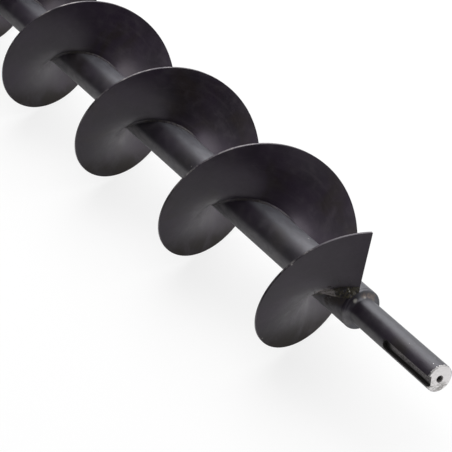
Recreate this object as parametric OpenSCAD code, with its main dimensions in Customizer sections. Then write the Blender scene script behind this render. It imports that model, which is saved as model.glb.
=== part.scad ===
// Screw conveyor auger: left-hand sectional flighting welded along a centre tube,
// with a turned, keyed drive shaft at one end and a plain bearing journal at the other.
// The axis is the X axis, the drive end points to +X and +Z is up. The origin is on
// the axis, where the drive journal leaves the fillet of its shoulder. Angles about
// the axis are measured from +Y towards +Z. The auger lies on the rims of its flights.

/* [Flighting] */
// Outer diameter of the flighting
flight_d = 200; // [170:5:260]
// Advance of the flighting in one turn
pitch = 230; // [180:5:280]
// Thickness of the flight plate, square to its surface
flight_t = 3; // [2:0.5:5]
// Number of full-turn flights
flight_count = 5; // [3:1:7]
// Angle by which the cut edge at the drive end leans forward from root to rim
end_skew = 12.5; // [0:0.5:20]
// Gap between a flight's inner edge and the tube
root_gap = 0.05; // [0.02:0.01:0.3]
// Distance from the drive shoulder's face to the flighting's first root
drive_setback = 1; // [0.5:0.5:20]
// Distance from the flighting's last root to the tail shoulder's face
tail_setback = 10; // [8:1:60]

/* [Welds] */
// Leg of the fillet weld along the flights' roots, square to the weld
weld_leg = 2.5; // [2:0.5:6]
// Leg of the heavy weld at each end of the flighting
end_weld_leg = 6.5; // [6.25:0.25:9]
// How much further a heavy end weld spreads on the tube, halfway along it
end_weld_spread = 4.5; // [0:0.5:8]
// Number of angular steps that each heavy end weld covers
end_weld_steps = 11; // [8:1:20]
// Width of the butt weld between two flights
butt_weld_w = 3; // [1:0.5:4]
// Height of the butt weld's crown, on the side away from the drive end
butt_crown = 0.8; // [0.2:0.1:1.5]
// Width at the surface of the seam weld between tube and shaft shoulder
seam_w = 2; // [1.5:0.5:5]
// Depth of the seam weld's groove
seam_depth = 2; // [1:0.25:2.25]
// How far the ground seam weld lies under the tube's surface
seam_dip = 0.3; // [0.1:0.05:0.6]

/* [Tube] */
// Outer diameter of the centre tube
tube_d = 48.3; // [46:0.1:60.3]
// Wall of the centre tube
tube_wall = 3; // [2.6:0.1:5]

/* [Shafts] */
// Diameter of both journals
shaft_d = 32; // [24:1:34]
// Length of the drive journal, from the shoulder's face
drive_len = 150; // [110:5:220]
// Length of the tail journal, from the shoulder's face
tail_len = 70; // [30:5:150]
// Width of the shoulder that closes the tube
lip_w = 4; // [3.5:0.5:10]
// Rounding of the shoulder's outer corner
lip_round = 1.5; // [0.5:0.25:1.75]
// Fillet between shoulder and journal
shoulder_fillet = 5; // [2:0.5:6]
// Length of the plug inside the tube
plug_len = 60; // [30:5:120]
// Radial clearance of the plug in the tube
plug_fit = 0.05; // [0.02:0.01:0.2]
// Lead-in chamfer on the plug
plug_chamfer = 2; // [0.5:0.5:4]
// Chamfer on the ends of the journals
shaft_chamfer = 1.5; // [0.5:0.25:3]

/* [Keyway and end hole] */
// Width of the keyway
key_w = 12; // [6:1:14]
// Depth of the keyway, from the journal's surface to its floor
key_depth = 5; // [3:0.5:7]
// Length of the keyway, back from the journal's end
key_len = 83; // [40:1:95]
// Direction that the keyway faces
key_angle = 176; // [0:1:359]
// Diameter of the hole in the drive journal's end
end_hole_d = 6.8; // [5:0.1:10]
// Depth of that hole, to the start of its drill point
end_hole_depth = 20; // [10:1:40]
// Diameter of the countersink at the mouth of that hole
countersink_d = 8.5; // [8.5:0.5:14]

/* [Hidden] */
steps = 60;
step = 360 / steps;
// The first root stands one and a half steps past the top, so the middle of a
// facet, and not a corner, lies at the bottom of every turn.
start_angle = 90 + 1.5 * step;
blend_steps = 6;
blend_columns = 8;
outer_bands = 3;
round_fn = 96;
drill_point = 118;
eps = 0.5;

flight_r = flight_d / 2;
tube_r = tube_d / 2;
tube_bore_r = tube_r - tube_wall;
plug_r = tube_bore_r - plug_fit;
shaft_r = shaft_d / 2;
root_r = tube_r / cos(step / 2) + root_gap;
last_angle = 360 * flight_count;
body_len = drive_setback + flight_count * pitch + tail_setback;
drive_face_x = -shoulder_fillet;
tail_face_x = drive_face_x - body_len;
first_root_x = drive_face_x - drive_setback;

// The flat ring that a flight is pressed from: the lengths of its root and its rim, its
// inner and outer radius, and the angle of it that makes one degree of the helix
root_run = sqrt(pow(2 * PI * root_r, 2) + pow(pitch, 2));
rim_run = sqrt(pow(2 * PI * flight_r, 2) + pow(pitch, 2));
blank_r = (flight_r - root_r) * root_run / (rim_run - root_run);
blank_rim = blank_r + flight_r - root_r;
blank_share = root_run / (2 * PI * blank_r);

// The drive end is cut along a straight line across that ring: the angle between the
// line's ends at root and rim, its length, and its distance from the ring's centre
cut_skew = end_skew * blank_share;
cut_len = sqrt(pow(blank_r, 2) + pow(blank_rim, 2) - 2 * blank_r * blank_rim * cos(cut_skew));
cut_offset = blank_r * blank_rim * sin(cut_skew) / cut_len;

// Radii of the flights' rings of points: the root, the two weld toes, then even bands
toe_r = root_r + weld_leg;
end_toe_r = root_r + end_weld_leg;
band = (flight_r - end_toe_r) / outer_bands;
radii = concat([root_r, toe_r], [for (i = [0 : outer_bands]) end_toe_r + i * band]);

paint = [0.17, 0.17, 0.18];
weld_paint = [0.21, 0.20, 0.17];

FLIGHTS = [1 : flight_count];
JOINTS = [1 : flight_count - 1];

// ---- The helix ----

// A column is [skew share, butt share, angle]: a line of points from root to rim.
// Its angle leans forward with the cut edge, and moves aside for half a butt weld.
function column(angle) = [0, 0, angle];
function columns(from, to) = [for (a = [from : step : to + step / 100]) column(a)];
function cut_angle(r) = acos(cut_offset / (blank_r + r - root_r));
function lean(r) = (cut_angle(root_r) - cut_angle(r)) / blank_share;
function half_butt(r) = asin(butt_weld_w / 2 / r);
function turned(col, r) = col[2] + col[0] * lean(r) + col[1] * half_butt(r);

// Length along the axis that a thickness square to the helical surface takes up
function axial(thickness, r) = thickness * sqrt(1 + pow(pitch / (2 * PI * r), 2));

// A point of the flighting's drive side at a radius, moved along the axis by shift
function helix_point(col, r, shift) =
    let (a = turned(col, r))
    [
        first_root_x + shift - pitch * a / 360,
        r * cos(start_angle + a),
        r * sin(start_angle + a)
    ];

// Two triangles of a quad a, b, c, d, split along a-c, or along b-d for its mate
function split(a, b, c, d, mate) = mate ? [[a, d, b], [b, d, c]] : [[a, c, b], [a, d, c]];

// A closed solid through equal loops of points; caps lists the triangles of one end
module sweep(loops, caps, mate) {
    n = len(loops[0]);
    last = (len(loops) - 1) * n;
    sides = [
        for (j = [0 : len(loops) - 2], i = [0 : n - 1])
        let (next = (i + 1) % n, row = j * n)
        each split(row + i, row + next, row + n + next, row + n + i, mate)
    ];
    ends = [for (c = caps) [last + c[2], last + c[1], last + c[0]]];
    polyhedron([for (l = loops) each l], concat(sides, caps, ends), convexity = 10);
}

// ---- Flights ----

// Loop of one column: out along the drive side, back along the other side
function plate_loop(col, thickness) =
    let (top = len(radii) - 1)
    concat(
        [for (i = [0 : top]) helix_point(col, radii[i], 0)],
        [for (i = [top : -1 : 0]) helix_point(col, radii[i], -axial(thickness, radii[i]))]);

plate_caps =
    let (n = 2 * len(radii))
    [for (i = [0 : len(radii) - 2]) each [[i, i + 1, n - 2 - i], [i, n - 2 - i, n - 1 - i]]];

// The first columns fan out from the leaning cut edge to the even steps
function cut_edge_columns() =
    [for (j = [0 : blend_columns])
        [1 - j / blend_columns, 0, blend_steps * step * j / blend_columns]];

function flight_columns(k) =
    let (from = 360 * (k - 1), to = 360 * k)
    concat(
        k == 1 ? cut_edge_columns() : [[0, 1, from]],
        columns(k == 1 ? (blend_steps + 1) * step : from + step, to - step),
        k == flight_count ? [column(to)] : [[0, -1, to]]);

module flight(k) {
    color(paint)
        sweep([for (c = flight_columns(k)) plate_loop(c, flight_t)], plate_caps, false);
}

// The butt weld fills the gap between two flights, with its crown on the tail side
module butt_weld(k) {
    edges = [[0, -1, 360 * k], column(360 * k), [0, 1, 360 * k]];
    color(weld_paint)
        sweep([for (c = edges) plate_loop(c, flight_t + butt_crown)], plate_caps, false);
}

// ---- Fillet welds ----

// Loop of a fillet in the corner of tube and flight: corner, toe on the tube, bulge,
// toe on the flight, and the rings of points between that toe and the corner. The toe
// on the tube goes no further than the drive shoulder's face.
function fillet_loop(col, tube_leg, toe) =
    let (
        leg = min(axial(tube_leg, root_r), drive_face_x - helix_point(col, root_r, 0)[0]),
        bulge_r = root_r + 0.55 * (radii[toe] - root_r)
    )
    concat(
        [helix_point(col, root_r, 0), helix_point(col, root_r, leg)],
        [helix_point(col, bulge_r, 0.55 * leg)],
        [for (i = [toe : -1 : 1]) helix_point(col, radii[i], 0)]);

function fillet_caps(toe) = [for (i = [0 : toe + 1]) [2, (3 + i) % (toe + 3), (4 + i) % (toe + 3)]];

function root_weld_columns(k) =
    let (from = 360 * (k - 1), to = 360 * k, heavy = end_weld_steps * step)
    concat(
        k == 1 ? [column(heavy)] : [column(from), [0, 1, from]],
        columns(k == 1 ? heavy + step : from + step, to - (k == flight_count ? heavy : 0) - step),
        k == flight_count ? [column(to - heavy)] : [[0, -1, to], column(to)]);

module root_weld(k) {
    color(weld_paint)
        sweep([for (c = root_weld_columns(k)) fillet_loop(c, weld_leg, 1)], fillet_caps(1), true);
}

// Leg on the tube of a heavy end weld, at a share of the way from the flighting's end
// to the root weld that it meets
function end_weld_leg_at(share) =
    end_weld_leg + (weld_leg - end_weld_leg) * pow(share, 2) + end_weld_spread * sin(180 * share);

module end_weld(cols) {
    n = len(cols) - 1;
    loops = [for (i = [0 : n]) fillet_loop(cols[i], end_weld_leg_at(i / n), 2)];
    flipped = cols[0][2] > cols[n][2];
    color(weld_paint)
        sweep(flipped ? [for (i = [n : -1 : 0]) loops[i]] : loops, fillet_caps(2), true);
}

module drive_end_weld() {
    end_weld(concat(
        cut_edge_columns(),
        columns((blend_steps + 1) * step, end_weld_steps * step)));
}

module tail_end_weld() {
    end_weld([for (i = [0 : end_weld_steps]) column(last_angle - i * step)]);
}

// ---- Tube, shafts and seams: profiles in [radius, distance along the axis] ----

// Lays what is drawn along +Z on the auger's axis, outwards from the drive or the
// tail shoulder's face
module at_drive_end() {
    translate([drive_face_x, 0, 0]) rotate([0, 90, 0]) children();
}

module at_tail_end() {
    translate([tail_face_x, 0, 0]) rotate([0, -90, 0]) children();
}

// Half of the seam weld's groove, at the lip's back edge, on the given side
module groove_half(side) {
    polygon([
        [tube_r - seam_depth, 0],
        [tube_r + eps, 0],
        [tube_r + eps, side * seam_w / 2 * (seam_depth + eps) / seam_depth]
    ]);
}

module seam_weld() {
    reach = seam_w / 2 * (seam_depth - seam_dip) / seam_depth;
    color(weld_paint)
        rotate_extrude($fn = round_fn)
            polygon([
                [tube_r - seam_depth, -lip_w],
                [tube_r - seam_dip, -lip_w - reach],
                [tube_r - seam_dip, -lip_w + reach]
            ]);
}

module shoulder_profile() {
    difference() {
        union() {
            translate([0, -lip_w]) square([tube_r - lip_round, lip_w]);
            translate([0, -lip_w]) square([tube_r, lip_w - lip_round]);
            translate([tube_r - lip_round, -lip_round]) circle(lip_round, $fn = round_fn);
        }
        translate([0, -lip_w]) groove_half(1);
    }
    translate([shaft_r, 0])
        difference() {
            translate([-eps, -eps]) square(shoulder_fillet + eps);
            translate([shoulder_fillet, shoulder_fillet]) circle(shoulder_fillet, $fn = round_fn);
        }
}

// Plug and journal in one, from the plug's lead-in to the journal's chamfered end
module core_profile(length) {
    back = -lip_w - plug_len;
    polygon([
        [0, back],
        [plug_r - plug_chamfer, back],
        [plug_r, back + plug_chamfer],
        [plug_r, -lip_w / 2],
        [shaft_r, -lip_w / 2],
        [shaft_r, length - shaft_chamfer],
        [shaft_r - shaft_chamfer, length],
        [0, length]
    ]);
}

module stub_shaft(length) {
    rotate_extrude($fn = round_fn)
        union() {
            core_profile(length);
            shoulder_profile();
        }
}

// An end-milled keyway: round at its closed end, open at the journal's end
module keyway() {
    translate([shaft_r - key_depth, 0, drive_len - key_len + key_w / 2]) {
        rotate([0, 90, 0]) cylinder(h = key_depth + eps, d = key_w, $fn = round_fn);
        translate([0, -key_w / 2, 0]) cube([key_depth + eps, key_w, key_len]);
    }
}

module end_hole() {
    point = end_hole_d / 2 / tan(drill_point / 2);
    flare = (countersink_d - end_hole_d) / 2;
    translate([0, 0, drive_len - end_hole_depth])
        cylinder(h = end_hole_depth + eps, d = end_hole_d, $fn = round_fn);
    translate([0, 0, drive_len - end_hole_depth - point])
        cylinder(h = point, d1 = 0, d2 = end_hole_d, $fn = round_fn);
    translate([0, 0, drive_len - flare])
        cylinder(h = flare, d1 = end_hole_d, d2 = countersink_d, $fn = round_fn);
}

// The shaft is drawn with its keyway on its own +x side, then turned to key_angle
module drive_shaft() {
    color(paint)
        at_drive_end()
            rotate([0, 0, 90 + key_angle])
                difference() {
                    stub_shaft(drive_len);
                    keyway();
                    end_hole();
                }
}

module tail_shaft() {
    color(paint) at_tail_end() stub_shaft(tail_len);
}

module centre_tube() {
    color(paint)
        at_drive_end()
            rotate_extrude($fn = round_fn)
                difference() {
                    translate([tube_bore_r, lip_w - body_len])
                        square([tube_wall, body_len - 2 * lip_w]);
                    translate([0, -lip_w]) groove_half(-1);
                    translate([0, lip_w - body_len]) groove_half(1);
                }
}

module drive_seam_weld() {
    at_drive_end() seam_weld();
}

module tail_seam_weld() {
    at_tail_end() seam_weld();
}

centre_tube();
drive_shaft();
drive_seam_weld();
tail_shaft();
tail_seam_weld();
drive_end_weld();
tail_end_weld();
for (k = FLIGHTS) {
    flight(k);
    root_weld(k);
}
for (k = JOINTS) {
    butt_weld(k);
}
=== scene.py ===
"""Looks of the screw conveyor auger: smooth flights and rippled weld beads in place of the
faceted CAD ones, painted and worn surfaces, and a studio with a white floor."""

import math
import random

import bpy
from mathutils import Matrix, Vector, noise

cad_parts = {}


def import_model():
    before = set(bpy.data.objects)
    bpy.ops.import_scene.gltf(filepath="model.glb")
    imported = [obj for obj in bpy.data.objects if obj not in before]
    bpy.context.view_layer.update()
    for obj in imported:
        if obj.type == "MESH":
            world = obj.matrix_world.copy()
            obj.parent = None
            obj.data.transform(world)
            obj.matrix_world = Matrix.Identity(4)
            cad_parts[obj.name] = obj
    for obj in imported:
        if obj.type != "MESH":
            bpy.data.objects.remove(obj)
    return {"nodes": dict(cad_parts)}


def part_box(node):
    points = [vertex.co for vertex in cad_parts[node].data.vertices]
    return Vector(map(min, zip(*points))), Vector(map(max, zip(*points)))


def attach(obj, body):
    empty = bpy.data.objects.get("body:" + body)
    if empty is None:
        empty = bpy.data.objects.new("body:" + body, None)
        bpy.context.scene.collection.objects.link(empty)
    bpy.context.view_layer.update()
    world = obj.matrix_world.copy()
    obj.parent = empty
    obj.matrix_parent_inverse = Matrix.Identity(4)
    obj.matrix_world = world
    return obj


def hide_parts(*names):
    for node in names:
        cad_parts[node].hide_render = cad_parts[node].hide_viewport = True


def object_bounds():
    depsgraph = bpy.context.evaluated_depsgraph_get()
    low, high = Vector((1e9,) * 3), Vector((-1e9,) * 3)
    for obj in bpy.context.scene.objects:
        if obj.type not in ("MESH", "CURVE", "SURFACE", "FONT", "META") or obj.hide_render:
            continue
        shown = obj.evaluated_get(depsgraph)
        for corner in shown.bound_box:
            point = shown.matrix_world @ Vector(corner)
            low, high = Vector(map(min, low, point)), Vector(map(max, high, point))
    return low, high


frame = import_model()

cad_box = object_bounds()

MM = 0.001


def span(node, axis):
    """How far a CAD node reaches along one axis."""
    low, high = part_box(node)
    return high[axis] - low[axis]


# ---- Sizes of the auger, in metres and degrees ----

FLIGHTS = 5
PITCH = 230 * MM
PLATE = 3 * MM
START_ANGLE = 99.0
END_SKEW = 12.5
TUBE_R = span("centre_tube", 1) / 2
# The smooth rims stay inside the box of the CAD rims, which have 60 sides
RIM_R = span("flight_3", 1) / 2 - 0.02 * MM
# The flights' inner edge is sunk a hair into the tube, so that no gap shows
ROOT_R = TUBE_R - 0.05 * MM
DRIVE_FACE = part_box("centre_tube")[1].x + 4 * MM
FIRST_ROOT = DRIVE_FACE - 1 * MM
SHAFT_R = span("tail_shaft", 1) / 2
SHAFT_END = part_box("drive_shaft")[1].x
LAST_ANGLE = 360.0 * FLIGHTS
# The heavy weld at each end of the flighting covers this angle
HEAVY_ANGLE = 66.0
# The leaning columns of the cut edge are back upright after this angle
BLEND_ANGLE = 36.0
KEY_ANGLE = 176.0
KEY_W = 12 * MM
KEY_DEPTH = 5 * MM
KEY_LEN = 83 * MM
COUNTERSINK_R = 4.25 * MM

# The flat ring that a flight is pressed from: the runs along its root and its rim in one
# turn, its inner radius, and its share of a full circle
ROOT_RUN = math.hypot(2 * math.pi * ROOT_R, PITCH)
RIM_RUN = math.hypot(2 * math.pi * RIM_R, PITCH)
BLANK_R = (RIM_R - ROOT_R) * ROOT_RUN / (RIM_RUN - ROOT_RUN)
BLANK_SHARE = ROOT_RUN / (2 * math.pi * BLANK_R)


def cut_distance():
    """Distance from the flat ring's centre to the straight line of the drive end's cut."""
    skew = math.radians(END_SKEW * BLANK_SHARE)
    outer = BLANK_R + RIM_R - ROOT_R
    chord = math.sqrt(BLANK_R ** 2 + outer ** 2 - 2 * BLANK_R * outer * math.cos(skew))
    return BLANK_R * outer * math.sin(skew) / chord


CUT_DISTANCE = cut_distance()


def lean(r, share):
    """Forward lean of the drive end's cut edge at a radius, in degrees about the axis."""
    at_root = math.acos(CUT_DISTANCE / BLANK_R)
    at_r = math.acos(CUT_DISTANCE / (BLANK_R + r - ROOT_R))
    return share * math.degrees(at_root - at_r) / BLANK_SHARE


def axial(thickness, r):
    """Length along the axis that a thickness square to the helical surface takes up."""
    return thickness * math.sqrt(1 + (PITCH / (2 * math.pi * r)) ** 2)


def helix(angle, r, shift=0.0):
    """A point of the flighting's drive side, moved along the axis by shift."""
    a = math.radians(START_ANGLE + angle)
    return Vector((FIRST_ROOT + shift - PITCH * angle / 360, r * math.cos(a), r * math.sin(a)))


# ---- Meshes ----

def new_piece(name, points, faces, flat, material, slot, nodes, normals=None):
    """A smooth-shaded mesh piece that rides on the auger and stands for CAD nodes.

    The last faces, as many as flat says, are the ends and are shaded flat; the others may
    be given a normal for each point.
    """
    mesh = bpy.data.meshes.new(name)
    mesh.from_pydata([tuple(p) for p in points], [], faces)
    mesh.polygons.foreach_set("use_smooth", [True] * (len(faces) - flat) + [False] * flat)
    if normals:
        shared = [normals[i] for face in faces[:len(faces) - flat] for i in face]
        ends = [(0, 0, 0)] * sum(len(face) for face in faces[len(faces) - flat:])
        mesh.normals_split_custom_set(shared + ends)
    mesh.materials.append(material)
    piece = bpy.data.objects.new(name, mesh)
    bpy.context.scene.collection.objects.link(piece)
    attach(piece, "root")
    if nodes:
        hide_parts(*nodes)
    return piece


def skin(loops):
    """Points and faces of a tube through equal closed loops, and how many faces cap its ends."""
    n = len(loops[0])
    faces = []
    for j in range(len(loops) - 1):
        for i in range(n):
            k = (i + 1) % n
            faces.append((j * n + k, (j + 1) * n + k, (j + 1) * n + i, j * n + i))
    last = (len(loops) - 1) * n
    strips = n // 2 - 1
    for i in range(strips):
        a, b, c, d = i, i + 1, n - 2 - i, n - 1 - i
        faces.append((d, c, b, a))
        faces.append((last + a, last + b, last + c, last + d))
    return [p for loop in loops for p in loop], faces, 2 * strips


def frange(low, high, count):
    return [low + (high - low) * i / count for i in range(count + 1)]


# ---- Flights ----

RIM_ROUND = 0.5 * MM
BANDS = 26
COLUMNS = 180
COLUMN = 360 / COLUMNS
# Shallow waves that pressing leaves in a flight, none at its root
WAVE = 0.5 * MM
WAVE_LENGTH = 75 * MM
WAVE_FROM = ROOT_R + 12 * MM
WAVE_FULL = ROOT_R + 35 * MM


def wave(p):
    """How far the plate stands off the true helix at a point."""
    r = math.hypot(p.y, p.z)
    grown = min(1.0, max(0.0, (r - WAVE_FROM) / (WAVE_FULL - WAVE_FROM)))
    return WAVE * grown * grown * noise.noise(p / WAVE_LENGTH)


def plate_loop(angle, share):
    """Closed loop of one column: out along the drive side, over the rim, back."""
    radii = frange(ROOT_R, RIM_R - RIM_ROUND, BANDS)
    front = [(r, 0.0) for r in radii]
    for turn in (30, 60):
        c = 1 - math.sin(math.radians(turn))
        front.append((RIM_R - RIM_ROUND * c, -RIM_ROUND * (1 - math.cos(math.radians(turn)))))
    drive_side, tail_side = [], []
    for r, inset in front:
        turned = angle + lean(r, share)
        off = wave(helix(turned, r))
        drive_side.append(helix(turned, r, axial(inset, r) + off))
        tail_side.append(helix(turned, r, -axial(PLATE, r) - axial(inset, r) + off))
    return drive_side + tail_side[::-1]


def flight(k, material):
    """One turn of the flighting.

    A column past each end gives the end columns their normals, so that the shading runs on
    unbroken from flight to flight.
    """
    first = 360.0 * (k - 1)
    loops = []
    for a in frange(first - COLUMN, first + 360 + COLUMN, COLUMNS + 2):
        share = max(0.0, 1 - a / BLEND_ANGLE) if k == 1 else 0.0
        loops.append(plate_loop(a, share))
    normals = []
    for before, loop, after in zip(loops, loops[1:], loops[2:]):
        last = len(loop) - 1
        for i in range(last + 1):
            outward = loop[min(i + 1, last)] - loop[max(i - 1, 0)]
            normals.append(outward.cross(after[i] - before[i]).normalized())
    points, faces, ends = skin(loops[1:-1])
    name = "flight_%d" % k
    new_piece("smooth_" + name, points, faces, ends, material, "flight_paint", [name], normals)


# ---- Node trees ----

class Tree:
    """Short forms for building one node tree; sockets and plain values mix freely."""

    def __init__(self, tree):
        self.tree = tree
        self.tree.nodes.clear()

    def node(self, kind, **settings):
        n = self.tree.nodes.new(kind)
        for key, value in settings.items():
            setattr(n, key, value)
        return n

    def put(self, socket, value):
        if isinstance(value, bpy.types.NodeSocket):
            self.tree.links.new(value, socket)
        elif value is not None:
            socket.default_value = value

    def math(self, operation, a, b=None):
        n = self.node("ShaderNodeMath", operation=operation)
        for socket, value in zip(n.inputs, (a, b)):
            self.put(socket, value)
        return n.outputs[0]

    def product(self, a, b):
        return self.math("MULTIPLY", a, b)

    def sum(self, a, b):
        return self.math("ADD", a, b)

    def ramp(self, value, low, high, to_low=0.0, to_high=1.0):
        """A value mapped smoothly from low..high to to_low..to_high, held at both ends."""
        n = self.node("ShaderNodeMapRange")
        n.interpolation_type = "SMOOTHSTEP"
        for name, v in (("Value", value), ("From Min", low), ("From Max", high),
                        ("To Min", to_low), ("To Max", to_high)):
            self.put(n.inputs[name], v)
        return n.outputs[0]

    def mix(self, share, a, b):
        """Two colours mixed by a share."""
        n = self.node("ShaderNodeMix", data_type="RGBA")
        self.put(n.inputs[0], share)
        for socket, value in ((n.inputs[6], a), (n.inputs[7], b)):
            self.put(socket, value if isinstance(value, bpy.types.NodeSocket) else (*value, 1))
        return n.outputs[2]

    def noise(self, where, scale, detail=3.0, rough=0.55, warp=0.0):
        n = self.node("ShaderNodeTexNoise")
        for name, v in (("Vector", where), ("Scale", scale), ("Detail", detail),
                        ("Roughness", rough), ("Distortion", warp)):
            self.put(n.inputs[name], v)
        return n.outputs[0]

    def stretch(self, where, factors):
        """Coordinates scaled along each axis, for noise drawn out in one direction."""
        n = self.node("ShaderNodeVectorMath", operation="MULTIPLY")
        self.put(n.inputs[0], where)
        self.put(n.inputs[1], factors)
        return n.outputs[0]

    def bump(self, height, distance, strength, normal=None):
        n = self.node("ShaderNodeBump")
        self.put(n.inputs["Strength"], strength)
        self.put(n.inputs["Distance"], distance)
        self.put(n.inputs["Height"], height)
        if normal is not None:
            self.put(n.inputs["Normal"], normal)
        return n.outputs[0]


class Surface(Tree):
    """A Principled material, with places taken in the auger's own frame."""

    def __init__(self, name):
        self.material = bpy.data.materials.new(name)
        self.material.use_nodes = True
        super().__init__(self.material.node_tree)
        self.shader = self.node("ShaderNodeBsdfPrincipled")
        self.put(self.node("ShaderNodeOutputMaterial").inputs["Surface"], self.shader.outputs[0])
        self.place = self.node("ShaderNodeTexCoord").outputs["Object"]
        parts = self.node("ShaderNodeSeparateXYZ")
        self.put(parts.inputs[0], self.place)
        self.x, self.y, self.z = parts.outputs
        squares = self.sum(self.product(self.y, self.y), self.product(self.z, self.z))
        self.radius = self.math("SQRT", squares)

    def facing(self, degrees):
        """Distance from the axis along a direction across it, from +Y at 0 to +Z at 90."""
        turn = math.radians(degrees)
        return self.sum(self.product(self.y, math.cos(turn)), self.product(self.z, math.sin(turn)))

    def set(self, **values):
        """Values or sockets for the shader's inputs, named with _ for a space."""
        for name, value in values.items():
            self.put(self.shader.inputs[name.replace("_", " ")], value)

    def spots(self, places, ragged, full=0.05, gone=0.6):
        """1 near each of the listed spots, (x, y, z, size) in mm, with ragged outlines."""
        total = None
        for x, y, z, size in places:
            away = self.node("ShaderNodeVectorMath", operation="DISTANCE")
            self.put(away.inputs[0], self.place)
            self.put(away.inputs[1], (x * MM, y * MM, z * MM))
            uneven = self.math("SUBTRACT", ragged, 0.5)
            edge = self.sum(away.outputs["Value"], self.product(uneven, size * MM))
            inside = self.ramp(edge, full * size * MM, gone * size * MM, 1.0, 0.0)
            total = inside if total is None else self.math("MAXIMUM", total, inside)
        return total

    def overlay(self, wear, colour, rough, metallic):
        """What a wear mask uncovers, or what lies there, over the surface's own values."""
        for name, value in (("Roughness", rough), ("Metallic", metallic)):
            socket = self.shader.inputs[name]
            if not socket.links and socket.default_value == value:
                continue
            under = socket.links[0].from_socket if socket.links else socket.default_value
            n = self.node("ShaderNodeMix", data_type="FLOAT")
            self.put(n.inputs[0], wear)
            self.put(n.inputs[2], under)
            self.put(n.inputs[3], value)
            self.put(socket, n.outputs[0])
        base = self.shader.inputs["Base Color"]
        self.put(base, self.mix(wear, base.links[0].from_socket, colour))


# ---- Materials ----

# Colours of the paint, and of what lies on it or shows through it
BLACK = (0.0100, 0.0074, 0.0112)
VIOLET = (0.0165, 0.0105, 0.0200)
BROWN = (0.0140, 0.0100, 0.0090)
DUST = (0.037, 0.031, 0.037)
STEEL = (0.44, 0.42, 0.41)


def painted(name, rough, dust, gloss, sheen=(0.95, 0.93, 1.0)):
    """Satin black paint: faint violet and brown patches, dusty mottling, orange peel."""
    s = Surface(name)
    patches = s.noise(s.place, 11.0, 2.0)
    tint = s.mix(s.ramp(patches, 0.40, 0.62), BLACK, VIOLET)
    tint = s.mix(s.ramp(s.noise(s.place, 17.0, 3.0, warp=0.6), 0.52, 0.72), tint, BROWN)
    cloud = s.noise(s.place, 60.0, 6.0, 0.62, warp=0.4)
    tint = s.mix(s.ramp(cloud, 0.45, 0.75, 0.0, dust), tint, DUST)
    s.set(Base_Color=tint)
    grain = s.noise(s.place, 420.0, 3.0)
    s.set(Roughness=s.sum(s.ramp(cloud, 0.3, 0.7, rough - 0.05, rough + 0.06),
                          s.ramp(grain, 0.3, 0.7, -0.02, 0.02)))
    peel = s.noise(s.place, 900.0, 2.0)
    lumps = s.bump(s.noise(s.place, 140.0, 2.0), 0.10 * MM, 0.5)
    s.set(Normal=s.bump(peel, 0.02 * MM, 0.6, lumps))
    s.set(Specular_Tint=(*sheen, 1), Specular_IOR_Level=gloss)
    return s


# Colours of the dust on tube and shaft, which also paint light: paler where it lies, palest low down
PAINTED_LIGHT_DUST = (0.076, 0.078, 0.088)
PAINTED_REFLECTION_DUST = (0.160, 0.152, 0.155)
# Middles of the band kept dark and of the palest band of the painted light, in degrees about the axis
DARK_BAND_AT = 137
PALEST_BAND_AT = 195


def dust_and_painted_light(s, where=1.0):
    """A mottled film of dust round tube and shaft, laid by side so that it is also painted light.

    It is left off along their upper near side, a band kept dark, and is thickest and palest along
    their lower near side, a painted reflection.
    """
    dark_band_side = s.facing(DARK_BAND_AT)
    lightened = s.ramp(s.math("DIVIDE", dark_band_side, s.radius), 0.78, 0.96, 1.0, 0.0)
    mottle = s.noise(s.stretch(s.place, (0.5, 1.0, 1.0)), 130.0, 5.0, 0.6, warp=0.4)
    lightened = s.product(lightened, where)
    s.overlay(s.product(lightened, s.ramp(mottle, 0.25, 0.75, 0.55, 1.0)), PAINTED_LIGHT_DUST, 0.55, 0.0)
    under = s.facing(PALEST_BAND_AT)
    palest = s.product(where, s.ramp(s.math("DIVIDE", under, s.radius), 0.80, 0.96))
    s.overlay(s.product(palest, s.ramp(mottle, 0.35, 0.65, 0.4, 1.0)), PAINTED_REFLECTION_DUST, 0.6, 0.0)


# Chips in the paint of the rims, x, y, z and size in mm, as in the lists below
RIM_CHIPS = [(-31, -74, 66, 2.4), (-79, -81, -54, 2.0), (-200, 86, 48, 1.6), (-452, 30, 92, 1.6)]
# Painted highlight: pale patches on the flight above the heavy weld
FLIGHT_HIGHLIGHT_SPOTS = [(-46, -31, 9, 5), (-44, -30, 12, 6), (-40, -28, 14, 7), (-36, -25.5, 16.5, 6)]
PALE_HIGHLIGHT = (0.24, 0.215, 0.205)
# Brown grime and painted shade low on the flights, and the lower gloss that darkens them there
BROWN_AND_SHADE = (0.0200, 0.0165, 0.0110)
FLIGHT_GLOSS = 0.60
SHADED_GLOSS = 0.34


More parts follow.
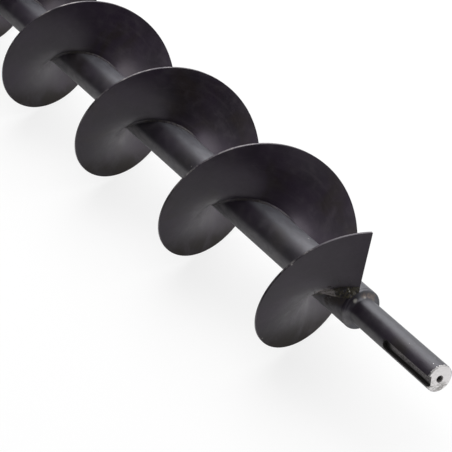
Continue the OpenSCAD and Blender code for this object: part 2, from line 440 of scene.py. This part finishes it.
def flight_paint():
    """Paint of the flights: scuffed round the axis, brownish and darker low down with grime and
    painted shade, rubbed through on the rim.
    """
    s = painted("flight_paint", 0.37, 0.5, FLIGHT_GLOSS, (0.97, 0.885, 1.0))
    rings = s.node("ShaderNodeCombineXYZ")
    for socket, value, factor in ((rings.inputs[0], s.radius, 260.0), (rings.inputs[1], s.y, 14.0),
                                  (rings.inputs[2], s.z, 14.0)):
        s.put(socket, s.product(value, factor))
    scuff = s.ramp(s.noise(rings.outputs[0], 1.0, 5.0, 0.6, warp=0.5), 0.52, 0.74, 0.0, 0.30)
    s.overlay(scuff, DUST, 0.5, 0.0)
    # Low on the flights the paint is browner and less glossy: brown grime, and painted shade darker
    # towards the bottom
    low = s.ramp(s.sum(s.z, s.product(s.y, 0.3)), -95 * MM, -60 * MM, 1.0, 0.0)
    smear = s.noise(s.place, 26.0, 4.0, 0.6, warp=0.4)
    dirt_and_shade = s.product(low, s.ramp(smear, 0.30, 0.60, 0.35, 1.0))
    s.overlay(dirt_and_shade, BROWN_AND_SHADE, 0.55, 0.0)
    s.set(Specular_IOR_Level=s.ramp(dirt_and_shade, 0.0, 1.0, FLIGHT_GLOSS, SHADED_GLOSS))
    ragged = s.noise(s.place, 700.0, 3.0)
    streak = s.noise(s.place, 260.0, 5.0, 0.7, warp=0.8)
    # Pale patches above the heavy weld: a painted highlight
    flight_highlight = s.product(s.spots(FLIGHT_HIGHLIGHT_SPOTS, ragged, 0.4, 1.1), s.ramp(streak, 0.35, 0.60))
    s.overlay(flight_highlight, PALE_HIGHLIGHT, 0.55, 0.0)
    rub = s.noise(s.place, 30.0, 6.0, 0.7)
    edge = s.ramp(s.radius, RIM_R - 0.25 * MM, RIM_R - 0.03 * MM)
    rim = s.product(edge, s.ramp(rub, 0.46, 0.66, 0.0, 0.8))
    wear = s.math("MAXIMUM", rim, s.spots(RIM_CHIPS, ragged))
    s.overlay(wear, STEEL, 0.45, 0.85)
    return s.material


TUBE_CHIPS = [(-131, 8.8, 22.4, 2.4), (-220, -22.9, -7.6, 1.8), (-359, -19.4, 14.2, 1.8)]
# Heat tint on the tube beside the heavy weld
TUBE_TINT = [(-38, -24, 1, 7), (-32, -23, 6, 8), (-25, -22, 9, 8), (-17, -21, 12, 7),
             (-11, -19, 15, 6)]
TINT = (0.034, 0.026, 0.018)


def tube_paint():
    """Paint of the tube under its dust and painted light by side, with heat tint and a few chips."""
    s = painted("tube_paint", 0.5, 0.8, 1.0)
    # Dust, and painted light by side: paler all round except a band on the upper near side
    dust_and_painted_light(s)
    ragged = s.noise(s.place, 700.0, 3.0)
    soot = s.noise(s.place, 220.0, 4.0, 0.65, warp=0.6)
    tinted = s.product(s.spots(TUBE_TINT, ragged, 0.4, 1.1), s.ramp(soot, 0.30, 0.58))
    s.overlay(tinted, TINT, 0.6, 0.0)
    s.overlay(s.spots(TUBE_CHIPS, ragged), STEEL, 0.5, 0.6)
    return s.material


SHAFT_CHIPS = [(93.8, -4.1, 15.4, 0.6), (136.9, -3.3, 15.7, 1.3), (129, 4, 15.5, 1.0)]
# Brown tint with a painted highlight on the top of the collar's fillet, and painted highlights as
# pale spots on its near side
BROWN_HIGHLIGHT_SPOTS = [(-4.5, 9, 16.5, 4.5), (-4.5, 2, 18.5, 4.5), (-3.0, 13, 11, 4.5), (-4.8, 14, 14, 4.5)]
FILLET_HIGHLIGHT_SPOTS = [(-4.0, -9.3, 15.8, 3.4), (-2.5, 2.0, 17.0, 2.2)]
BROWN_TINT_HIGHLIGHT = (0.17, 0.128, 0.105)
FILLET_HIGHLIGHT = (0.34, 0.33, 0.30)
# Near black for the centre hole: painted shade
HOLE_SHADE = (0.010, 0.010, 0.010)
# Inside the keyway: near black as painted shade, and pale dust that is partly a painted reflection
KEYWAY_SHADE = (0.016, 0.015, 0.012)
KEYWAY_DUST_REFLECTION = (0.33, 0.305, 0.30)


def keyway_shade_and_dust(s):
    """Mask of the milled keyway, and its colour: painted shade on its walls and closed end, and pale
    dust specks on its floor, partly a painted reflection.
    """
    turn = math.radians(KEY_ANGLE)
    deep = s.facing(KEY_ANGLE)
    aside = s.math("SUBTRACT", s.product(s.z, math.cos(turn)), s.product(s.y, math.sin(turn)))
    between = s.ramp(s.math("ABSOLUTE", aside), KEY_W / 2 + 0.1 * MM, KEY_W / 2 + 0.2 * MM, 1.0, 0.0)
    past = s.ramp(s.x, SHAFT_END - KEY_LEN - 0.1 * MM, SHAFT_END - KEY_LEN)
    outer = s.ramp(s.radius, SHAFT_R - 0.3 * MM, SHAFT_R - 0.1 * MM, 1.0, 0.0)
    short = s.ramp(s.x, SHAFT_END - 0.1 * MM, SHAFT_END - 0.02 * MM, 1.0, 0.0)
    inside = s.product(s.product(between, past), s.product(outer, short))
    floor = s.ramp(deep, SHAFT_R - KEY_DEPTH + 0.1 * MM, SHAFT_R - KEY_DEPTH + 0.5 * MM, 1.0, 0.0)
    speckle = s.ramp(s.noise(s.place, 380.0, 4.0, 0.7), 0.38, 0.62)
    away = s.ramp(s.x, SHAFT_END - KEY_LEN + 4 * MM, SHAFT_END - KEY_LEN + 14 * MM)
    upper = s.ramp(s.sum(aside, s.product(speckle, 1.0 * MM)), 3.4 * MM, 4.8 * MM, 1.0, 0.0)
    away = s.product(away, upper)
    pale = s.product(floor, s.product(away, s.ramp(speckle, 0.0, 1.0, 0.35, 1.0)))
    return inside, s.mix(pale, KEYWAY_SHADE, KEYWAY_DUST_REFLECTION)


def shaft_paint():
    """Painted journal with a bare, sanded end face and a worn paint edge on its chamfer."""
    s = painted("shaft_paint", 0.42, 0.7, 0.8)
    # Dust, and painted light by side: paler all round except a band on the upper near side
    dust_and_painted_light(s)
    ragged = s.noise(s.place, 420.0, 4.0, 0.7)
    cloudy = s.ramp(s.noise(s.place, 190.0, 4.0, 0.65, warp=0.6), 0.32, 0.60)
    # The collar's fillet gets a brown tint with a painted highlight, and pale painted highlights
    s.overlay(s.product(s.spots(BROWN_HIGHLIGHT_SPOTS, ragged, 0.4, 1.1), cloudy), BROWN_TINT_HIGHLIGHT, 0.55, 0.0)
    s.overlay(s.spots(FILLET_HIGHLIGHT_SPOTS, ragged, 0.1, 1.0), FILLET_HIGHLIGHT, 0.5, 0.0)
    # Only the drive shaft reaches past the origin by this much
    drive_end = s.ramp(s.x, 50 * MM, 60 * MM)
    beyond = s.ramp(s.radius, COUNTERSINK_R - 0.15 * MM, COUNTERSINK_R + 0.15 * MM)
    # The centre hole and its countersink are painted near black: painted shade
    s.overlay(s.product(s.math("SUBTRACT", 1.0, beyond), drive_end), HOLE_SHADE, 0.3, 0.0)
    inside, dirt_and_shade = keyway_shade_and_dust(s)
    # The keyway gets painted shade, and pale dust on its floor that is partly a painted reflection
    s.overlay(inside, dirt_and_shade, 0.6, 0.0)
    worn_to = s.ramp(ragged, 0.3, 0.75, SHAFT_END - 2.4 * MM, SHAFT_END - 0.2 * MM)
    bare = s.ramp(s.math("SUBTRACT", s.x, worn_to), 0.0, 0.2 * MM)
    bare = s.product(s.product(bare, beyond), s.math("SUBTRACT", 1.0, inside))
    wear = s.math("MAXIMUM", bare, s.spots(SHAFT_CHIPS, ragged))
    scratch = s.noise(s.stretch(s.place, (1.0, 1.0, 7.0)), 500.0, 4.0)
    smudge = s.noise(s.stretch(s.place, (1.0, 0.8, 1.6)), 150.0, 5.0, 0.65, warp=1.0)
    low = s.ramp(s.sum(s.z, s.product(s.y, 0.35)), -9.0 * MM, 1.0 * MM, 1.0, 0.12)
    smudged = s.product(s.ramp(smudge, 0.44, 0.62), low)
    steel = s.mix(smudged, (0.80, 0.78, 0.78), (0.30, 0.29, 0.28))
    steel = s.mix(s.ramp(scratch, 0.35, 0.7, 0.0, 0.3), steel, (0.50, 0.48, 0.46))
    s.overlay(wear, steel, 0.42, 0.9)
    return s.material


# Painted highlights: a pale smear on the thin end of the heavy weld, and bright glints on its thick
# end
WELD_HIGHLIGHT_SPOTS = [(-43, -24, 8, 8), (-38, -23.5, 11, 9), (-33, -23, 14, 8), (-29, -22.5, 15, 5)]
WELD_GLINT_SPOTS = [(-11.2, -12.3, 24.3, 1.3), (-13.5, -12.0, 26.0, 0.9), (-17.0, -16.5, 23.5, 0.8)]
OLIVE = (0.060, 0.052, 0.028)
PIT_SHADE = (0.004, 0.004, 0.004)
GLINT_PALE = (0.55, 0.54, 0.50)


def weld_paint():
    """Painted over weld metal: blotchy brown and olive, rougher than the plate."""
    s = painted("weld_paint", 0.46, 0.6, 0.6)
    ragged = s.noise(s.place, 500.0, 4.0, 0.7)
    # The seam welds don't stand above the tube: they share its dust and painted light and are plain
    proud = s.ramp(s.radius, TUBE_R - 0.2 * MM, TUBE_R + 0.1 * MM)
    dust_and_painted_light(s, s.math("SUBTRACT", 1.0, proud))
    blotch = s.noise(s.place, 210.0, 4.0, 0.65, warp=0.6)
    fresh = s.product(proud, s.ramp(s.x, -90 * MM, -50 * MM, 0.3, 1.0))
    s.overlay(s.product(fresh, s.ramp(blotch, 0.40, 0.56)), OLIVE, 0.5, 0.0)
    # A pale smear on the thin end of the heavy weld: a painted highlight
    highlight_mottle = s.noise(s.place, 330.0, 5.0, 0.7, warp=0.5)
    weld_highlight = s.product(s.spots(WELD_HIGHLIGHT_SPOTS, ragged, 0.5, 1.1), s.ramp(highlight_mottle, 0.32, 0.48))
    s.overlay(weld_highlight, PALE_HIGHLIGHT, 0.55, 0.0)
    # Near-black patches on the proud welds: painted shade standing for pits
    pit_shade = s.ramp(s.noise(s.place, 300.0, 2.0, 0.5), 0.30, 0.38, 0.9, 0.0)
    s.overlay(s.product(proud, pit_shade), PIT_SHADE, 0.7, 0.0)
    # Bright specks on the thick end of the heavy weld: painted glints
    s.overlay(s.spots(WELD_GLINT_SPOTS, ragged, 0.3, 0.9), GLINT_PALE, 0.4, 0.0)
    return s.material


FLIGHT_PAINT = flight_paint()
TUBE_PAINT = tube_paint()
SHAFT_PAINT = shaft_paint()
WELD_PAINT = weld_paint()


def repaint(nodes, material):
    """Gives CAD nodes that stay in view their finish."""
    for name in nodes:
        mesh = frame["nodes"][name].data
        mesh.materials.clear()
        mesh.materials.append(material)


# ---- Weld beads ----

# Spacing and height of the ripples along a bead
RIPPLE = 2.4 * MM
RIPPLE_RISE = 0.15 * MM
# How far a bead's face is hollowed, as a share of its leg
HOLLOW = 0.42
WELD_LEG = 2.3 * MM
HEAVY_LEG = 7.0 * MM
HEAVY_SPREAD = 4.5 * MM
ROOT_LUMP = 0.35 * MM
HEAVY_LUMP = 1.5 * MM
ROOT_POINTS = 8
HEAVY_POINTS = 20
HEAVY_COLUMNS = 160
BEAD_RUN = ROOT_RUN / 360
BEAD_STEP = 0.75
# Size of the lumps of a heavy bead, and of its fine roughness
LUMP = 4.2 * MM
GRIT = 1.4 * MM


def lumps(p):
    """Height share of a heavy bead's surface: round lumps with creases between them."""
    near = noise.voronoi(p / LUMP)[0][0]
    return 0.75 - 1.5 * near ** 1.4 + 0.30 * noise.fractal(p / GRIT, 0.8, 2.0, 3)


def bead_loop(angle, leg, spread, lump, share, count):
    """Closed loop of a fillet bead: its corner, its face from the tube to the flight, and back."""
    reach = min(axial(spread, ROOT_R), DRIVE_FACE - helix(angle, ROOT_R).x)
    loop = [helix(angle, ROOT_R, -axial(PLATE / 2, ROOT_R))]
    for i in range(count):
        turn = math.pi / 2 * i / (count - 1)
        bulge = math.sin(2 * turn)
        fill = 1 - HOLLOW * bulge
        up = leg * math.sin(turn) * fill
        p = helix(angle + lean(ROOT_R + up, share), ROOT_R + up, reach * math.cos(turn) * fill)
        ripple = math.cos(2 * math.pi * (angle * BEAD_RUN + 0.7 * turn * MM) / RIPPLE)
        rise = RIPPLE_RISE * bulge * ripple + lump * math.sqrt(max(0.0, bulge)) * lumps(p)
        out = Vector((0, p.y, p.z)).normalized()
        away = out * math.sin(turn + 0.4) + Vector((1, 0, 0)) * math.cos(turn + 0.4)
        loop.append(p + away * rise)
    loop.append(helix(angle + lean(ROOT_R + leg, share), ROOT_R + leg, -axial(PLATE / 2, ROOT_R)))
    return loop


def bead(name, angles, leg, spread, lump, nodes, count, share=lambda a: 0.0):
    loops = [bead_loop(a, leg(a), spread(a), lump(a), share(a), count) for a in angles]
    return new_piece(name, *skin(loops), WELD_PAINT, "weld_paint", nodes)


def root_bead(k):
    first = 360.0 * (k - 1) + (HEAVY_ANGLE if k == 1 else 0.0)
    last = 360.0 * k - (HEAVY_ANGLE if k == FLIGHTS else 0.0)
    angles = frange(first, last, round((last - first) / BEAD_STEP))
    bead("bead_root_%d" % k, angles, lambda a: WELD_LEG, lambda a: WELD_LEG,
         lambda a: ROOT_LUMP, ["root_weld_%d" % k], ROOT_POINTS)


def heavy(along):
    """Height share of a heavy end bead, 1 at the flighting's end and 0 at the root bead."""
    return 1 - min(1.0, along / HEAVY_ANGLE) ** 2


def heavy_bead(name, angles, along, node, share=lambda a: 0.0):
    """An end bead that grows from a root bead's size to its full one at the flighting's end."""
    def leg(a):
        return WELD_LEG + (HEAVY_LEG - WELD_LEG) * heavy(along(a))

    def reach(a):
        return leg(a) + HEAVY_SPREAD * math.sin(math.pi * along(a) / HEAVY_ANGLE)

    def lump(a):
        return ROOT_LUMP + HEAVY_LUMP * heavy(along(a))

    bead(name, angles, leg, reach, lump, [node], HEAVY_POINTS, share)


def end_beads():
    heavy_bead("bead_drive_end", frange(0.0, HEAVY_ANGLE, HEAVY_COLUMNS), lambda a: a,
               "drive_end_weld", lambda a: max(0.0, 1 - a / BLEND_ANGLE))
    heavy_bead("bead_tail_end", frange(LAST_ANGLE - HEAVY_ANGLE, LAST_ANGLE, HEAVY_COLUMNS),
               lambda a: LAST_ANGLE - a, "tail_end_weld")


CROWN = 0.8 * MM
CROWN_WIDTH = 4.0 * MM
CROWN_FROM = ROOT_R + WELD_LEG
CROWN_TO = RIM_R - 0.6 * MM
# How deep the crown's underside is sunk into the plates
CROWN_SUNK = 0.4 * MM
CROWN_STEPS = 90
CROWN_POINTS = 12


def crown(k):
    """Crown of the butt weld between two flights, on the side away from the drive end.

    On the drive side that weld is ground flush, so nothing of it shows there.
    """
    loops = []
    for r in frange(CROWN_FROM, CROWN_TO, CROWN_STEPS):
        loop = []
        for i in range(CROWN_POINTS):
            turn = -2 * math.pi * i / CROWN_POINTS
            aside = CROWN_WIDTH / 2 * math.cos(turn)
            height = CROWN * math.sin(turn) * (1 + 0.3 * math.cos(2 * math.pi * r / RIPPLE))
            p = helix(360.0 * k + math.degrees(aside / r), r)
            loop.append(p + Vector((wave(p) - axial(PLATE, r) - max(height, -CROWN_SUNK), 0, 0)))
        loops.append(loop)
    new_piece("crown_butt_%d" % k, *skin(loops), FLIGHT_PAINT, "flight_paint", ["butt_weld_%d" % k])


# ---- Weld spatter ----

SPATTER_COUNT = 46


def drop(base, out, size, points, faces):
    """Adds one frozen drop of spatter, a low dome on a surface."""
    side = out.orthogonal().normalized()
    other = out.cross(side)
    start = len(points)
    rings = ((1.0, -0.2), (0.92, 0.3), (0.55, 0.72))
    sides = 8
    for width, height in rings:
        for i in range(sides):
            turn = 2 * math.pi * i / sides
            flat = (side * math.cos(turn) + other * math.sin(turn)) * width
            points.append(base + (flat + out * height) * size)
    points.append(base + out * (0.85 * size))
    for j in range(len(rings) - 1):
        for i in range(sides):
            k = (i + 1) % sides
            a, b = start + j * sides, start + (j + 1) * sides
            faces.append((a + i, a + k, b + k, b + i))
    top = start + len(rings) * sides
    ring = top - sides
    faces.extend((ring + i, ring + (i + 1) % sides, top) for i in range(sides))
    faces.append(tuple(start + i for i in reversed(range(sides))))


def spatter():
    """Drops thrown out by welding the drive end, on the flight, the tube and the collar."""
    rng = random.Random(11)
    points, faces = [], []
    for i in range(SPATTER_COUNT):
        size = rng.uniform(0.3, 0.8) * MM
        angle = rng.uniform(2, HEAVY_ANGLE + 8)
        if i % 3:
            r = ROOT_R + HEAVY_LEG + 14 * MM * rng.random() ** 2
            p = helix(angle, r)
            drop(p + Vector((wave(p), 0, 0)), Vector((1, 0, 0)), size, points, faces)
        else:
            ahead = (HEAVY_LEG + 18 * MM * rng.random() ** 2) * angle / HEAVY_ANGLE
            room = DRIVE_FACE - 4 * MM - helix(angle, TUBE_R).x
            p = helix(angle, TUBE_R, min(axial(WELD_LEG, TUBE_R) + ahead, room))
            drop(p, Vector((0, p.y, p.z)).normalized(), size, points, faces)
    new_piece("weld_spatter", points, faces, 0, WELD_PAINT, "weld_paint", [])


# ---- The auger ----

repaint(["centre_tube"], TUBE_PAINT)
repaint(["drive_shaft", "tail_shaft"], SHAFT_PAINT)
repaint(["drive_seam_weld", "tail_seam_weld"], WELD_PAINT)
for k in range(1, FLIGHTS + 1):
    flight(k, FLIGHT_PAINT)
    root_bead(k)
for k in range(1, FLIGHTS):
    crown(k)
end_beads()
spatter()


# ---- Studio ----

FLOOR_REACH = 60.0
# The sweep under the auger is graduated: greyer in front of it than behind it
FRONT_GREY = 0.12
BACK_WHITE = 0.92
GREY_BEFORE = -340 * MM
WHITE_BEYOND = -50 * MM
# Share of plain white in the floor as the camera sees it and as reflections see it, and how
# much more of it reflections see behind the auger
FLOOR_SEEN = 0.8
FLOOR_MIRRORED = 0.15
BACK_MIRRORED = 0.5
MORE_FROM = 30 * MM
MORE_BEYOND = 60 * MM


def floor_material():
    """White floor: lit and shadowed as it is, but lifted towards white where it is seen."""
    material = bpy.data.materials.new("floor_white")
    material.use_nodes = True
    t = Tree(material.node_tree)
    diffuse = t.node("ShaderNodeBsdfDiffuse")
    rays = t.node("ShaderNodeLightPath").outputs
    parts = t.node("ShaderNodeSeparateXYZ")
    t.put(parts.inputs[0], t.node("ShaderNodeTexCoord").outputs["Object"])
    grade = t.ramp(parts.outputs["Y"], GREY_BEFORE, WHITE_BEYOND, FRONT_GREY, BACK_WHITE)
    seen = rays["Is Camera Ray"]
    t.put(diffuse.inputs["Color"], t.math("MAXIMUM", grade, t.product(seen, BACK_WHITE)))
    glow = t.node("ShaderNodeEmission")
    mirrored = t.math("MAXIMUM", rays["Is Glossy Ray"], rays["Is Transmission Ray"])
    glint = t.sum(t.product(grade, FLOOR_MIRRORED),
                  t.ramp(parts.outputs["Y"], MORE_FROM, MORE_BEYOND, 0.0, BACK_MIRRORED))
    share = t.math("MAXIMUM", t.product(seen, FLOOR_SEEN), t.product(mirrored, glint))
    mix = t.node("ShaderNodeMixShader")
    t.put(mix.inputs[0], share)
    t.put(mix.inputs[1], diffuse.outputs[0])
    t.put(mix.inputs[2], glow.outputs[0])
    t.put(t.node("ShaderNodeOutputMaterial").inputs["Surface"], mix.outputs[0])
    return material


def floor():
    mesh = bpy.data.meshes.new("floor")
    z = cad_box[0][2]
    corners = [(x * FLOOR_REACH, y * FLOOR_REACH, z) for x, y in ((-1, -1), (1, -1), (1, 1), (-1, 1))]
    mesh.from_pydata(corners, [], [(0, 1, 2, 3)])
    mesh.materials.append(floor_material())
    plane = bpy.data.objects.new("floor", mesh)
    bpy.context.scene.collection.objects.link(plane)


DARK_SIDE = 0.09
BACK_SIDE = 0.75
OVERHEAD = 0.25


def world():
    """A white studio: bright behind the auger, dark on the side that it is seen from."""
    studio = bpy.data.worlds.new("studio")
    studio.use_nodes = True
    t = Tree(studio.node_tree)
    direction = t.node("ShaderNodeSeparateXYZ")
    t.put(direction.inputs[0], t.node("ShaderNodeTexCoord").outputs["Generated"])
    away = t.math("SUBTRACT", direction.outputs["Y"], t.product(direction.outputs["X"], 0.35))
    side = t.ramp(away, -0.3, 0.6, DARK_SIDE, BACK_SIDE)
    above = t.ramp(direction.outputs["Z"], 0.0, 0.85, 0.0, OVERHEAD)
    light = t.sum(side, above)
    rays = t.node("ShaderNodeLightPath").outputs
    seen = t.node("ShaderNodeMix", data_type="FLOAT")
    t.put(seen.inputs[0], rays["Is Camera Ray"])
    t.put(seen.inputs[2], light)
    t.put(seen.inputs[3], 1.0)
    background = t.node("ShaderNodeBackground")
    t.put(background.inputs["Strength"], seen.outputs[0])
    t.put(t.node("ShaderNodeOutputWorld").inputs["Surface"], background.outputs[0])
    bpy.context.scene.world = studio


def softbox(name, place, aim, width, height, radiance):
    """A white panel lamp of a given brightness, which the camera doesn't see."""
    lamp = bpy.data.lights.new(name, "AREA")
    lamp.shape = "RECTANGLE"
    lamp.size = width
    lamp.size_y = height
    lamp.energy = radiance * math.pi * width * height
    panel = bpy.data.objects.new(name, lamp)
    bpy.context.scene.collection.objects.link(panel)
    panel.location = place
    panel.rotation_euler = (Vector(aim) - Vector(place)).to_track_quat("-Z", "Y").to_euler()
    panel.visible_camera = False


def lights():
    softbox("overhead_panel", (-0.5, 0.3, 1.5), (-0.5, 0.3, 0.0),
            width=2.8, height=1.7, radiance=1.9)
    softbox("back_panel", (-1.97, 0.78, 1.2), (-0.5, 0.0, 0.0), width=1.6, height=1.1, radiance=2.0)


def camera():
    data = bpy.data.cameras.new("camera")
    data.sensor_width = 36.0
    data.lens = 156.65
    cam = bpy.data.objects.new("camera", data)
    bpy.context.scene.collection.objects.link(cam)
    cam.location = (1.4960, -1.0052, 1.1615)
    cam.rotation_euler = Vector((-0.75359, 0.41997, -0.50570)).to_track_quat("-Z", "Y").to_euler()
    bpy.context.scene.camera = cam


floor()
world()
lights()
camera()
bpy.context.scene.view_settings.view_transform = "Standard"
